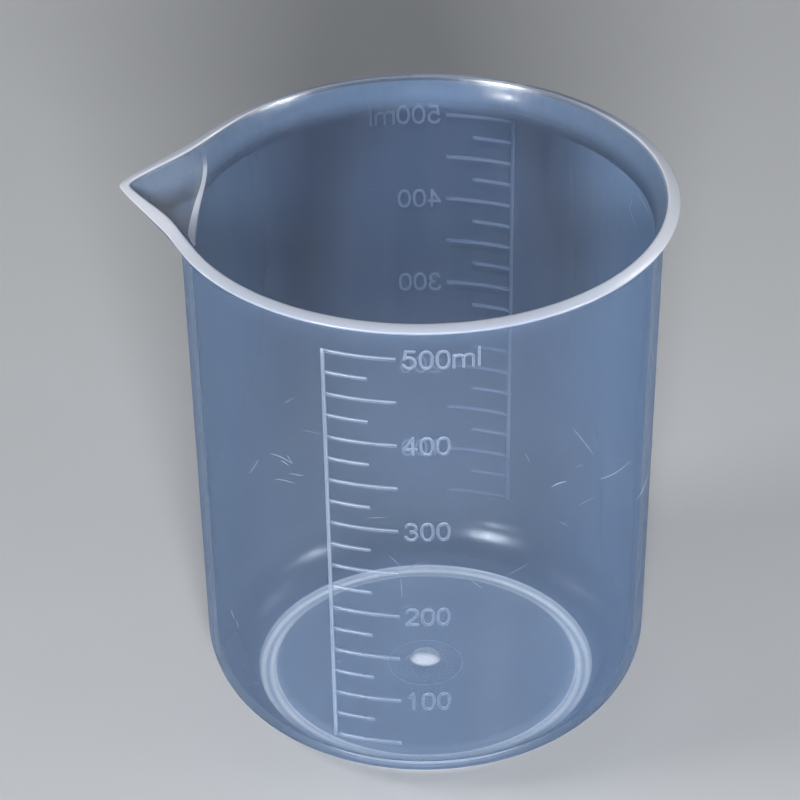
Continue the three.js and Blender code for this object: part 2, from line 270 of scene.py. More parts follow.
class Shell:
    """Rows of points from the middle of the underside, over the lip, to the middle of the floor.
    Each point has a paleness, a painted glow and painted highlights on edges that seem to gather
    light, a veil, which is the opacity of the plain skin there, a shade, which is 1 where the
    inside is painted dark as shade, and a mattness, which is 1 in the spout's channel."""

    def __init__(self):
        self.rows, self.pale, self.veil, self.shade, self.matt, self.corners = [], [], [], [], [], []
        self.underside_and_ring()
        self.outside()
        self.lip_and_inside()
        self.floor_and_gate()

    def put(
        self, skin, radius, z, veil, pale=0.0, softness=CREASE_SOFTNESS, corner=0.0, strip=0.0, shade=None
    ):
        """Adds a row. Its veil and its paleness, a painted glow, are numbers or functions of the row's
        points. Strip is the paleness of the painted highlight beside a crease.
        """
        points, in_strip = skin.row(radius, z, softness)
        self.rows.append(points)
        self.pale.append(np.maximum(pale(points) if callable(pale) else pale, strip * in_strip))
        base = inner_shade(points) if skin is inner_skin else np.zeros(len(points))
        self.shade.append(base if shade is None else np.full(len(points), shade))
        pushed = np.hypot(points[:, 0], points[:, 1]) - radius
        channel = smoothstep(pushed, 0.2 * MM, 1.5 * MM) * float(skin is inner_skin)
        self.matt.append(channel)
        self.veil.append(np.maximum(veil(points) if callable(veil) else veil, CHANNEL_VEIL * channel))
        self.corners.append(corner)

    def underside_and_ring(self):
        for radius in (0.3 * MM, 2 * MM, 5 * MM):
            self.put(outer_skin, radius, UNDERSIDE, UNDERSIDE_VEIL)
        # The bottom of the witness groove is painted pale: a painted highlight.
        for step in (-1, -0.5, 0, 0.5, 1):
            share = 1 - abs(step)
            radius = WITNESS_RADIUS + step * WITNESS_WIDTH
            self.put(outer_skin, radius, UNDERSIDE + WITNESS_DEPTH * share, UNDERSIDE_VEIL, 0.5 * share)
        for radius in np.linspace(10 * MM, FLOOR_RADIUS - 1.2 * MM, 6):
            self.put(outer_skin, radius, UNDERSIDE, UNDERSIDE_VEIL)
        # The foot ring's edges and bands carry painted highlights.
        self.put(outer_skin, FLOOR_RADIUS - 0.35 * MM, UNDERSIDE, UNDERSIDE_VEIL, 0.1)
        self.put(outer_skin, FLOOR_RADIUS, UNDERSIDE, UNDERSIDE_VEIL, 1, corner=RING_ROUND)
        self.put(outer_skin, FLOOR_RADIUS + 0.15 * MM, 0, UNDERSIDE_VEIL, 1, corner=RING_ROUND)
        for inset, pale in RING_PAINTED_HIGHLIGHTS:
            self.put(outer_skin, FLOOR_RADIUS + inset, 0, UNDERSIDE_VEIL, pale)
        self.put(outer_skin, RING_RADIUS - 0.1 * MM, 0, UNDERSIDE_VEIL, 1, corner=RING_ROUND)

    def outside(self):
        turn_end = math.pi / 2 - LEAN
        reach = (HEEL_TOP - UNDERSIDE) / (1 - math.cos(turn_end))
        turn_start = math.asin((RING_RADIUS - FLOOR_RADIUS) / reach)
        for turn in np.linspace(turn_start, turn_end, HEEL_ROWS + 1):
            radius, z = FLOOR_RADIUS + reach * math.sin(turn), UNDERSIDE + reach * (1 - math.cos(turn))
            first = turn == turn_start
            # The first row, the foot ring's outer edge, carries a painted highlight, and the bottom of the
            # heel painted shade under a thicker veil.
            veil = lerp(HEEL_OUTER_VEIL, OUTER_VEIL, float(smoothstep(turn, 0.7, 1.25)))
            shade = HEEL_SHADE * (1 - float(smoothstep(turn, 0.7, turn_end)))
            corner = RING_ROUND if first else 0
            self.put(outer_skin, radius, z, veil, float(first), corner=corner, shade=shade)
        for z in np.linspace(HEEL_TOP, SPOUT_BASE, WALL_ROWS + 1)[1:]:
            self.put(outer_skin, wall_outer(z), z, OUTER_VEIL)
        for z in np.linspace(SPOUT_BASE, FLARE_START, SPOUT_ROWS + 1)[1:]:
            self.put(outer_skin, wall_outer(z), z, OUTER_VEIL)
        for share in np.linspace(0, FLARE_LAST, FLARE_ROWS)[1:]:
            radius, z = flare(share, FLARE_START, LIP_OUTER_Z, wall_outer, LIP_RADIUS)
            softness = lerp(CREASE_SOFTNESS, LIP_SOFTNESS, share)
            # A painted glow grows towards the lip.
            self.put(outer_skin, radius, z, OUTER_VEIL, 0.15 * share**2, softness)

    def lip_and_inside(self):
        self.put(outer_skin, LIP_RADIUS, LIP_OUTER_Z, OUTER_VEIL, lip_pale, LIP_SOFTNESS, LIP_OUTER_ROUND)
        self.put(
            inner_skin, LIP_INNER_RADIUS, HEIGHT, OUTER_VEIL, lip_pale, LIP_INNER_SOFTNESS, LIP_INNER_ROUND
        )
        for share in np.linspace(FLARE_LAST, 0, FLARE_ROWS):
            radius, z = flare(share, FLARE_START, HEIGHT, wall_inner, LIP_INNER_RADIUS)
            softness = lerp(CREASE_SOFTNESS, LIP_INNER_SOFTNESS, share**2)
            # The flare is painted lighter than the rest of the inside, and the painted highlight on the
            # crease's strip fades out up the flare.
            shade = lerp(1, FLARE_SHADE, float(smoothstep(share, 0, 0.6)))
            strip = STRIP_PAINTED_HIGHLIGHT * (1 - float(smoothstep(share, 0.35, 0.8)))
            self.put(inner_skin, radius, z, inner_veil, 0, softness, strip=strip, shade=shade)
        for z in np.linspace(FLARE_START, SPOUT_BASE, SPOUT_ROWS + 1)[1:]:
            self.put(inner_skin, wall_inner(z), z, inner_veil, strip=STRIP_PAINTED_HIGHLIGHT)
        for z in np.linspace(SPOUT_BASE, HEEL_TOP, WALL_ROWS + 1)[1:]:
            self.put(inner_skin, wall_inner(z), z, inner_veil)

    def floor_and_gate(self):
        turn_end = math.pi / 2 - LEAN
        reach = (wall_inner(HEEL_TOP) - FLOOR_RADIUS) / math.sin(turn_end)
        rise = (HEEL_TOP - FLOOR_TOP) / (1 - math.cos(turn_end))
        for turn in np.linspace(turn_end, 0, HEEL_ROWS + 1)[1:]:
            radius, z = FLOOR_RADIUS + reach * math.sin(turn), FLOOR_TOP + rise * (1 - math.cos(turn))
            heel = lerp(HEEL_VEIL_FLOOR, HEEL_VEIL, float(smoothstep(turn, 0.25, 0.55)))
            fade = float(smoothstep(turn, 0.9, turn_end))
            self.put(inner_skin, radius, z, lambda points: lerp(heel, inner_veil(points), fade))
        for radius in np.linspace(FLOOR_RADIUS - 1.5 * MM, GATE_RADIUS + 1 * MM, 8):
            self.put(inner_skin, radius, FLOOR_TOP, FLOOR_VEIL)
        for turn in np.linspace(0, math.pi / 2, 9)[:-1]:
            radius, z = GATE_RADIUS * math.cos(turn), FLOOR_TOP + GATE_HEIGHT * math.sin(turn)
            self.put(inner_skin, radius, z, FLOOR_VEIL, gate_pale)

    def round_corners(self):
        """Replaces each marked row by a short curve, so that its edge is rounded."""
        rows, pale, veil, shade, matt = [], [], [], [], []
        for i, corner in enumerate(self.corners):
            corner_row, corner_pale = [self.rows[i]], [self.pale[i]]
            if corner:
                before, after = (self.rows[i + step] - self.rows[i] for step in (-1, 1))
                ends = []
                for side in (before, after):
                    length = np.linalg.norm(side, axis=1, keepdims=True)
                    ends.append(self.rows[i] + side * np.minimum(corner / length, MOST_ROUNDED))
                corner_row = [
                    (1 - t) ** 2 * ends[0] + 2 * t * (1 - t) * self.rows[i] + t**2 * ends[1]
                    for t in np.linspace(0, 1, ROUND_STEPS + 1)
                ]
                corner_pale = [
                    lerp(self.pale[i], self.pale[i + 1], smoothstep(t, 0.6, 1))
                    for t in np.linspace(0, 1, ROUND_STEPS + 1)
                ]
            rows += corner_row
            pale += corner_pale
            veil += [self.veil[i]] * len(corner_row)
            shade += [self.shade[i]] * len(corner_row)
            matt += [self.matt[i]] * len(corner_row)
        self.rows, self.pale, self.veil, self.shade, self.matt = rows, pale, veil, shade, matt

    def piece(self, name):
        self.round_corners()
        columns, count = len(self.rows[0]), len(self.rows)
        around = np.arange(columns)
        following = (around + 1) % columns
        faces = []
        for j in range(count - 1):
            low, high = j * columns, (j + 1) * columns
            quads = np.stack([low + around, low + following, high + following, high + around], 1)
            faces += quads.tolist()
        underside, summit = count * columns, count * columns + 1
        last = (count - 1) * columns
        faces += [(underside, int(b), int(a)) for a, b in zip(around, following)]
        faces += [(summit, int(last + a), int(last + b)) for a, b in zip(around, following)]
        ends = [(0, 0, UNDERSIDE), (0, 0, FLOOR_TOP + GATE_HEIGHT)]
        values = {
            "pale": np.concatenate([*self.pale, [0, GATE_PAINTED_HIGHLIGHT_BACK]]),
            "veil": np.concatenate([*self.veil, [UNDERSIDE_VEIL, FLOOR_VEIL]]),
            "shade": np.concatenate([*self.shade, [0, 1]]),
            "matt": np.concatenate([*self.matt, [0, 0]]),
        }
        return mesh_object(name, np.concatenate([*self.rows, ends]), faces, values)


def mesh_object(name, vertices, faces, values=None):
    """A smooth mesh object with a number for each vertex under each name in values."""
    mesh = bpy.data.meshes.new(name)
    mesh.from_pydata([tuple(v) for v in vertices], [], faces)
    mesh.update()
    mesh.shade_smooth()
    for key, numbers in (values or {}).items():
        attribute = mesh.attributes.new(key, "FLOAT", "POINT")
        attribute.data.foreach_set("value", np.asarray(numbers, np.float32))
    piece = bpy.data.objects.new(name, mesh)
    bpy.context.scene.collection.objects.link(piece)
    return piece


# Raised scales
MARK_WIDTH = 0.75 * MM
MARK_RELIEF = 0.35 * MM
MARK_SINK = 0.06 * MM
LONG_MARK = 12.5 * MM
SHORT_MARK = 7.5 * MM
SPINE_WIDTH = 0.75 * MM
SPINE_STEPS, MARK_STEPS = 40, 12
# Painted highlight: its share for the spine, for the lowest and highest marks, growing towards the top,
# and for the ends of the bars
SPINE_CLARITY = 0.85
MARK_CLARITY_LOW, MARK_CLARITY_HIGH = 0.35, 1.0
END_PALE = 0.4
FULL_ML, LOWEST_ML, MARK_ML, LONG_MARK_ML = 500, 50, 25, 50
FRONT, REAR = -math.pi / 2, math.pi / 2
# Across a bar: place, relief and paleness, a painted highlight. Both edges of the spine are painted as
# if they catch the light, and of a mark mostly the upper one.
SPINE_PROFILE = (
    (-0.5, 0, 0.4),
    (-0.38, 0.8, 0.8),
    (-0.22, 1, 0.6),
    (0, 0.85, 0.5),
    (0.22, 1, 0.6),
    (0.38, 0.8, 0.8),
    (0.5, 0, 0.4),
)
MARK_PROFILE = (
    (-0.5, 0, 0.2),
    (-0.38, 0.8, 0.7),
    (-0.22, 1, 0.3),
    (0, 0.85, 0.05),
    (0.22, 1, 0.4),
    (0.38, 0.8, 1),
    (0.5, 0, 0.4),
)


def inner_radius(z):
    if z >= HEEL_TOP:
        return wall_inner(z)
    turn = math.acos(1 - (z - FLOOR_TOP) / (HEEL_TOP - FLOOR_TOP) * (1 - math.sin(LEAN)))
    return FLOOR_RADIUS + (wall_inner(HEEL_TOP) - FLOOR_RADIUS) * math.sin(turn) / math.cos(LEAN)


def fill_height(millilitres):
    """Height at which the inside holds a volume."""
    slice_height = 0.05 * MM
    z, left = FLOOR_TOP, millilitres * 1e-6
    while left > 0:
        volume = math.pi * inner_radius(z + slice_height / 2) ** 2 * slice_height
        z += slice_height * min(1, left / volume)
        left -= volume
    return z


MARKS = {ml: fill_height(ml) for ml in range(LOWEST_ML, FULL_ML + 1, MARK_ML)}
MIDDLE_RADIUS = wall_outer((scale_low.z + scale_high.z) / 2)
SPINE_START = -math.asin(-scale_low.x / wall_outer(scale_high.z))


def on_wall(angle, z, proud):
    radius = wall_outer(z) + proud
    return (radius * math.cos(angle), radius * math.sin(angle), z)


def bar(path, across, width, profile, strength, vertices, faces, pale):
    """Adds a raised bar with rounded edges along a path of (angle, z) on the wall."""
    first, count = len(vertices), len(profile)
    rings = [(0.0, path[0]), *((1.0, p) for p in path), (0.0, path[-1])]
    for height, (angle, z) in rings:
        for offset, relief, paleness in profile:
            a = angle + across[0] * offset * width / MIDDLE_RADIUS
            proud = -MARK_SINK + (MARK_RELIEF + MARK_SINK) * relief * height
            vertices.append(on_wall(a, z + across[1] * offset * width, proud))
            pale.append(strength * (paleness if height else END_PALE))
    turn = 1 if across[1] > 0 else -1
    for j in range(len(rings) - 1):
        a, b = first + j * count, first + (j + 1) * count
        for i in range(count):
            k = (i + 1) % count
            faces.append((a + i, b + i, b + k, a + k)[::turn])
    for start, order in ((first, turn), (first + (len(rings) - 1) * count, -turn)):
        faces.append(tuple(range(start, start + count))[::order])


def raised_scale(name, middle, strength):
    vertices, faces, pale = [], [], []
    start = middle + SPINE_START
    spine = start + SPINE_WIDTH / 2 / MIDDLE_RADIUS
    low, high = MARKS[LOWEST_ML] - MARK_WIDTH / 2, MARKS[FULL_ML] + MARK_WIDTH / 2
    path = [(spine, z) for z in np.linspace(low, high, SPINE_STEPS)]
    bar(path, (1, 0), SPINE_WIDTH, SPINE_PROFILE, SPINE_CLARITY * strength, vertices, faces, pale)
    for ml, z in MARKS.items():
        length = LONG_MARK if ml % LONG_MARK_ML == 0 else SHORT_MARK
        clarity = strength * lerp(MARK_CLARITY_LOW, MARK_CLARITY_HIGH, ml / FULL_ML)
        first = start + SPINE_WIDTH * 0.85 / MIDDLE_RADIUS
        last = start + (SPINE_WIDTH + length) / MIDDLE_RADIUS
        path = [(angle, z) for angle in np.linspace(first, last, MARK_STEPS)]
        bar(path, (0, 1), MARK_WIDTH, MARK_PROFILE, clarity, vertices, faces, pale)
    return mesh_object(name, vertices, faces, {"pale": pale})


# Numerals: strokes along centre lines, with round shoulders
LABELS_ML = (100, 200, 300, 400, 500)
STROKE = 0.52 * MM
SHOULDER = 0.2 * MM
GRID = 0.09 * MM
DIGIT_PITCH = 2.86 * MM
M_PITCH = 3.5 * MM
LABEL_START = math.radians(0.9)
HALF_WIDTH = 1.03 * MM
HALF_HEIGHT = 1.72 * MM
M_HALF_WIDTH = 1.67 * MM
M_TOP = 0.74 * MM
LETTER_GAP = 0.2 * MM
# Painted highlight on the numerals: its share grows from 100 to 500, and the hollow share paints the
# middles of the strokes darker than their edges.
LABEL_CLARITY_LOW, LABEL_CLARITY_HIGH = 0.7, 1.3
HOLLOW_LOW, HOLLOW_HIGH = 0.9, 0.5


def arc(centre, radii, start, end, steps=20, power=2.0):
    """Points along an ellipse or, with a higher power, a squarer oval. Angles in degrees."""
    turns = np.radians(np.linspace(start, end, steps + 1))
    cosines, sines = np.cos(turns), np.sin(turns)
    x = np.sign(cosines) * np.abs(cosines) ** (2 / power)
    y = np.sign(sines) * np.abs(sines) ** (2 / power)
    return np.stack([centre[0] + radii[0] * x, centre[1] + radii[1] * y], 1)


def centre_lines(letter):
    """Centre lines of a numeral's strokes, about the middle of its height."""
    a, b = HALF_WIDTH, HALF_HEIGHT
    if letter == "0":
        return [arc((0, 0), (a, b), 0, 360, 48, 2.3)]
    if letter == "1":
        return [[(-0.55 * a, 0.55 * b), (0.1 * a, b), (0.1 * a, -b)]]
    if letter == "2":
        bow = arc((0, 0.45 * b), (0.95 * a, 0.55 * b), 165, -40)
        return [[*bow, (-a, -b), (a, -b)]]
    if letter == "3":
        upper = arc((-0.05 * a, 0.48 * b), (0.88 * a, 0.52 * b), 160, -90)
        lower = arc((-0.05 * a, -0.48 * b), (a, 0.52 * b), 90, -160)
        return [upper, lower]
    if letter == "4":
        return [[(0.45 * a, -b), (0.45 * a, b), (-a, -0.35 * b), (a, -0.35 * b)]]
    if letter == "5":
        bowl = arc((-0.05 * a, -0.35 * b), (a, 0.65 * b), 140, -155)
        return [[(0.85 * a, b), (-0.6 * a, b), *bowl]]
    if letter == "m":
        half, drop = M_HALF_WIDTH / 2, 0.75 * MM
        lines = [[(-M_HALF_WIDTH, M_TOP), (-M_HALF_WIDTH, -b)]]
        for middle in (-half, half):
            lines.append([*arc((middle, M_TOP - drop), (half, drop), 180, 0), (middle + half, -b)])
        return lines
    return [[(0, b + 0.2 * MM), (0, -b)]]


def nearest_on(lines, points):
    """The nearest point of the centre lines to each point."""
    best, found = np.full(len(points), np.inf), np.zeros_like(points)
    for line in lines:
        corners = np.asarray(line)
        for a, b in zip(corners[:-1], corners[1:]):
            along = np.clip((points - a) @ (b - a) / max((b - a) @ (b - a), 1e-18), 0, 1)
            foot = a + along[:, None] * (b - a)
            gap = np.linalg.norm(points - foot, axis=1)
            closer = gap < best
            best[closer], found[closer] = gap[closer], foot[closer]
    return best, found


def glyph(letter):
    """A closed relief of one letter: flat places, relief from 0 to 1, quads and skirt edges."""
    lines = centre_lines(letter)
    corners = np.concatenate([np.asarray(line) for line in lines])
    low, high = corners.min(0) - STROKE, corners.max(0) + STROKE
    columns, rows = (int(math.ceil(length / GRID)) for length in high - low)
    steps = np.stack(np.meshgrid(np.arange(columns + 1), np.arange(rows + 1), indexing="ij"), -1)
    places = low + steps.reshape(-1, 2) * GRID
    gap, foot = nearest_on(lines, places)
    centre_gap = nearest_on(lines, places + GRID / 2)[0].reshape(columns + 1, rows + 1)
    quads, used = [], {}
    for i in range(columns):
        for j in range(rows):
            if centre_gap[i, j] < STROKE / 2:
                corner = [(i, j), (i + 1, j), (i + 1, j + 1), (i, j + 1)]
                quads.append([u * (rows + 1) + v for u, v in corner])
    for quad in quads:
        for a, b in zip(quad, quad[1:] + quad[:1]):
            used[a, b] = True
    skirt = [(a, b) for a, b in used if (b, a) not in used]
    on_edge = np.zeros(len(places), bool)
    on_edge[[a for a, _ in skirt]] = True
    outwards = (places - foot) / np.maximum(gap, 1e-9)[:, None]
    places = np.where(on_edge[:, None], foot + outwards * STROKE / 2, places)
    gap = np.where(on_edge, STROKE / 2, np.minimum(gap, STROKE / 2))
    fall = np.clip((gap - (STROKE / 2 - SHOULDER)) / SHOULDER, 0, 1)
    kept = sorted({v for quad in quads for v in quad})
    number = {v: k for k, v in enumerate(kept)}
    return (
        places[kept],
        np.sqrt(1 - fall[kept] ** 2),
        [[number[v] for v in quad] for quad in quads],
        [(number[a], number[b]) for a, b in skirt],
    )


GLYPHS = {letter: glyph(letter) for letter in "012345ml"}


def numerals(name, middle, strength):
    vertices, faces, pale = [], [], []
    for ml in LABELS_ML:
        clarity = strength * lerp(LABEL_CLARITY_LOW, LABEL_CLARITY_HIGH, ml / FULL_ML)
        hollow = lerp(HOLLOW_LOW, HOLLOW_HIGH, ml / FULL_ML)
        at = HALF_WIDTH + STROKE / 2
        for letter in str(ml) + ("ml" if ml == FULL_ML else ""):
            if letter == "m":
                at += M_HALF_WIDTH - HALF_WIDTH
            places, relief, quads, skirt = GLYPHS[letter]
            first, count = len(vertices), len(places)
            for proud in (MARK_RELIEF * relief, np.full(count, -MARK_SINK)):
                for (x, y), height in zip(places, proud):
                    angle = middle + LABEL_START + (at + x) / MIDDLE_RADIUS
                    vertices.append(on_wall(angle, MARKS[ml] + y, height))
            pale += (clarity * (1 - hollow * relief**4)).tolist() + [END_PALE * clarity] * count
            for quad in quads:
                faces.append([first + v for v in quad])
                faces.append([first + count + v for v in reversed(quad)])
            faces += [(first + b, first + a, first + count + a, first + count + b) for a, b in skirt]
            at += M_PITCH - HALF_WIDTH + LETTER_GAP if letter == "m" else DIGIT_PITCH
    return mesh_object(name, vertices, faces, {"pale": pale})


# Wear: fine ridges thrown up by scratches
SCRATCH_WIDTH = 0.2 * MM
SCRATCH_RELIEF = 0.05 * MM
SCRATCH_STEPS = 10
# Start and end as degrees from the front and height in mm, bow in mm, strength
OUTER_SCRATCHES = (
    (37.5, 66.5, 42, 66.4, 0.3, 1.0),
    (53.5, 63, 67, 61.4, -0.4, 0.9),
    (72, 50.2, 84, 50.8, -0.4, 0.8),
    (43, 78, 50.5, 69.5, 0.0, 0.4),
    (45.5, 59.7, 51, 59.7, 0.2, 0.4),
    (45, 68.8, 47, 68.4, 0.0, 0.3),
    (-33.5, 72, -27, 71.7, 0.4, 0.6),
    (-30.5, 71.5, -28, 71, 0.1, 0.6),
    (-32.5, 66.8, -26.5, 67.6, 0.2, 0.5),
    (-28, 69.4, -24, 69.9, 0.0, 0.5),
    (-28.5, 73.3, -27, 71.7, 0.0, 0.5),
    (-24, 79.8, -19, 80.1, 0.0, 0.3),
    (-41, 65.2, -37.5, 69.4, 0.0, 0.3),
    (-53.5, 29.3, -52, 27.9, 0.0, 0.7),
    (-51, 28, -50, 26.6, 0.0, 0.6),
    (-3, 56, 1, 53, 0.0, 0.3),
    (0, 52.3, 5.5, 54.8, 0.2, 0.35),
    (5.5, 54.8, 9, 52, 0.2, 0.35),
    (0, 51.2, 0.2, 46.8, 0.0, 0.25),
    (26, 49.8, 32, 51.2, 0.0, 0.35),
    (-8, 63.7, -3.5, 64.3, 0.0, 0.3),
)
INNER_SCRATCHES = (
    (124.5, 98.5, 120, 98.6, 0.0, 0.5),
    (115, 97.5, 105, 97.4, 0.2, 0.7),
    (118.5, 95.5, 119.5, 92.8, -0.3, 0.7),
    (119.5, 92.8, 113.5, 90, 0.2, 0.7),
)
SCUFF_SEED = 11
SCUFF_COUNT = 70


def scratch(start, end, bow, strength, width, surface, vertices, faces, pale):
    """Adds one tapered three-sided ridge from (angle, z) to (angle, z) on a wall's surface."""
    first = len(vertices)
    run = np.array([(end[0] - start[0]) * MIDDLE_RADIUS, end[1] - start[1]])
    sideways = np.array([-run[1], run[0]]) / np.linalg.norm(run)
    for share in np.linspace(0, 1, SCRATCH_STEPS + 1):
        swell = math.sin(math.pi * lerp(0.03, 0.97, share)) ** 0.7
        arch = bow * 4 * share * (1 - share)
        for side, proud in ((-0.5, -0.4), (0, 1), (0.5, -0.4)):
            shift = sideways * (side * width * swell + arch)
            angle = lerp(start[0], end[0], share) + shift[0] / MIDDLE_RADIUS
            z = lerp(start[1], end[1], share) + shift[1]
            vertices.append(surface(angle, z, proud * SCRATCH_RELIEF * swell))
            pale.append(strength)
    for j in range(SCRATCH_STEPS):
        a, b = first + 3 * j, first + 3 * j + 3
        for i in range(3):
            k = (i + 1) % 3
            faces.append((a + i, b + i, b + k, a + k))
    last = first + 3 * SCRATCH_STEPS
    faces.append((first, first + 1, first + 2))
    faces.append((last + 2, last + 1, last))


def inside_wall(angle, z, proud):
    radius = wall_inner(z) - proud
    if z > FLARE_START:
        share = (z - FLARE_START) / (HEIGHT - FLARE_START)
        radius += (LIP_INNER_RADIUS - wall_inner(HEIGHT)) * share**2
    return (radius * math.cos(angle), radius * math.sin(angle), z)


def wear(name, listed, surface, scuffs):
    vertices, faces, pale = [], [], []
    for a, low, b, high, bow, strength in listed:
        start, end = (FRONT + math.radians(a), low * MM), (FRONT + math.radians(b), high * MM)
        scratch(start, end, bow * MM, strength, SCRATCH_WIDTH, surface, vertices, faces, pale)
    draw = random.Random(SCUFF_SEED)
    for _ in range(scuffs):
        angle, z = draw.uniform(-math.pi, 0.6 * math.pi), draw.uniform(15, 92) * MM
        length, heading = draw.uniform(0.8, 3.2) * MM, draw.gauss(0, 0.6)
        end = (angle + length * math.cos(heading) / MIDDLE_RADIUS, z + length * math.sin(heading))
        strength = draw.uniform(0.1, 0.35)
        scratch((angle, z), end, 0, strength, 0.6 * SCRATCH_WIDTH, surface, vertices, faces, pale)
    return mesh_object(name, vertices, faces, {"pale": pale})


# Materials
def node(tree, kind, links=None, **values):
    """Adds a node, sets its properties and links its inputs."""
    made = tree.nodes.new(kind)
    for key, value in values.items():
        setattr(made, key, value)
    for key, value in (links or {}).items():
        socket = made.inputs[key]
        if isinstance(value, bpy.types.NodeSocket):
            tree.links.new(value, socket)
        else:
            socket.default_value = value
    return made


def blended(tree, factor, a, b):
    """Colour between two colours or sockets."""
    mix = node(tree, "ShaderNodeMix", data_type="RGBA")
    for socket, value in ((mix.inputs[0], factor), (mix.inputs[6], a), (mix.inputs[7], b)):
        if isinstance(value, bpy.types.NodeSocket):
            tree.links.new(value, socket)
        else:
            socket.default_value = value
    return mix.outputs[2]


def ranged(tree, value, low, high, start=0.0, end=1.0):
    """A value that runs from one number to another as its source runs from start to end."""
    made = node(tree, "ShaderNodeMapRange", {0: value, 1: start, 2: end, 3: low, 4: high})
    return made.outputs[0]


def maths(tree, operation, a, b):
    return node(tree, "ShaderNodeMath", {0: a, 1: b}, operation=operation, use_clamp=True).outputs[0]


def noise(tree, place, scale, detail=2.0):
    links = {"Vector": place, "Scale": scale, "Detail": detail}
    return node(tree, "ShaderNodeTexNoise", links).outputs["Fac"]


def attribute(tree, name):
    return node(tree, "ShaderNodeAttribute", attribute_name=name).outputs["Fac"]


TINT = (0.95, 0.975, 1.0, 1)
HAZE_TONE = (0.24, 0.37, 0.57, 1)
# The outer tone is the plastic's own; the dark tone is painted shade for the inside.
OUTER_TONE, PAINTED_SHADE_TONE = (0.195, 0.305, 0.5, 1), (0.015, 0.035, 0.085, 1)
MARK_TONES = (0.5, 0.6, 0.78, 1), (0.7, 0.78, 0.9, 1)
# Tones that the paleness blends towards: painted glow on the body, painted highlights on the marks and the
# white of wear on the scratches; the flow streaks take a little of them too.
PAINTED_GLOW_AND_STREAK_TONE = (0.90, 0.93, 1.0, 1)
MARK_HIGHLIGHT_STREAK_AND_WEAR_TONE = (0.85, 0.90, 0.97, 1)
CLOUD_SCALE, PATCH_SCALE = 40.0, 300.0
DRAWN_SCALES = (600.0, 600.0, 30.0)
EDGE_HAZE, CLOUD_HAZE = 0.55, 0.05
DRAWN_SHARE = 0.012
SHINE_FACING, SHINE_EDGE = 0.045, 0.08
CHANNEL_POLISH = 0.15


def plastic(name, tone, veil, edge, edge_alpha, solid_at, roughness, glow_share):
    """Milky clear plastic. The tone and veil are functions that add their nodes to a tree. The paleness
    blends the colour towards the edge tone: painted glow and highlights on the body and marks, and wear on
    the scratches.
    """
    material = bpy.data.materials.new(name)
    material.use_nodes = True
    tree = material.node_tree
    tree.nodes.clear()
    place = node(tree, "ShaderNodeTexCoord").outputs["Object"]
    pale = attribute(tree, "pale")
    clouds = noise(tree, place, CLOUD_SCALE, 3.0)
    stretch = node(tree, "ShaderNodeMapping", {"Vector": place, "Scale": DRAWN_SCALES}).outputs[0]
    drawn = noise(tree, stretch, 1.0)

    facing = node(tree, "ShaderNodeLayerWeight", {"Blend": 0.25}).outputs["Facing"]
    edge_on = ranged(tree, facing, 0.0, EDGE_HAZE, 0.12, 0.95)
    haze = maths(tree, "ADD", edge_on, ranged(tree, clouds, 0.0, CLOUD_HAZE, 0.3, 0.7))
    milky = maths(tree, "ADD", haze, veil(tree))
    alpha = maths(tree, "MAXIMUM", milky, ranged(tree, pale, 0.0, edge_alpha, 0.0, solid_at))

    body = blended(tree, ranged(tree, drawn, 0.0, DRAWN_SHARE, 0.35, 0.65), tone(tree), edge)
    hazy = blended(tree, edge_on, body, HAZE_TONE)
    colour = blended(tree, pale, hazy, edge)
    rough = ranged(tree, drawn, roughness - 0.05, roughness + 0.05, 0.3, 0.7)
    gloss = node(
        tree,
        "ShaderNodeBsdfPrincipled",
        {"Base Color": colour, "Roughness": rough, "IOR": 1.49, "Specular IOR Level": 0.0},
    )
    glow = node(tree, "ShaderNodeBsdfTranslucent", {"Color": colour})
    solid = node(tree, "ShaderNodeMixShader", {0: glow_share, 1: gloss.outputs[0], 2: glow.outputs[0]})
    clear = node(tree, "ShaderNodeBsdfTransparent", {"Color": TINT})
    both = node(tree, "ShaderNodeMixShader", {0: alpha, 1: clear.outputs[0], 2: solid.outputs[0]})
    mirror = node(tree, "ShaderNodeBsdfGlossy", {"Color": (1, 1, 1, 1), "Roughness": rough})
    polish = ranged(tree, attribute(tree, "matt"), 1.0, CHANNEL_POLISH)
    shine = maths(tree, "MULTIPLY", ranged(tree, facing, SHINE_FACING, SHINE_EDGE, 0.3, 1.0), polish)
    coated = node(tree, "ShaderNodeMixShader", {0: shine, 1: both.outputs[0], 2: mirror.outputs[0]})
    output = node(tree, "ShaderNodeOutputMaterial")
    tree.links.new(coated.outputs[0], output.inputs["Surface"])
    return material


def body_tone(tree):
    return blended(tree, attribute(tree, "shade"), OUTER_TONE, PAINTED_SHADE_TONE)


def body_veil(tree):
    return attribute(tree, "veil")


def mark_tone(tree):
    place = node(tree, "ShaderNodeTexCoord").outputs["Object"]
    return blended(tree, noise(tree, place, PATCH_SCALE), *MARK_TONES)


def mark_veil(tree):
    return ranged(tree, attribute(tree, "pale"), 0.05, 0.35)


body_plastic = plastic("polypropylene", body_tone, body_veil, PAINTED_GLOW_AND_STREAK_TONE, 0.9, 0.41, 0.22, 0.35)
mark_plastic = plastic("raised_plastic", mark_tone, mark_veil, MARK_HIGHLIGHT_STREAK_AND_WEAR_TONE, 0.9, 0.41, 0.3, 0.5)
scuffed_plastic = plastic("scuffed_plastic", mark_tone, mark_veil, MARK_HIGHLIGHT_STREAK_AND_WEAR_TONE, 0.7, 1.2, 0.4, 0.35)


def finish_piece(piece, material, nodes=()):
    piece.data.materials.append(material)
    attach(piece, "root")
    if nodes:
        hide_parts(*nodes)


finish_piece(
    Shell().piece("jug_body"),
    body_plastic,
    ("floor", "gate_mark", "heel", "foot_ring", "wall", "rim", "spout"),
)
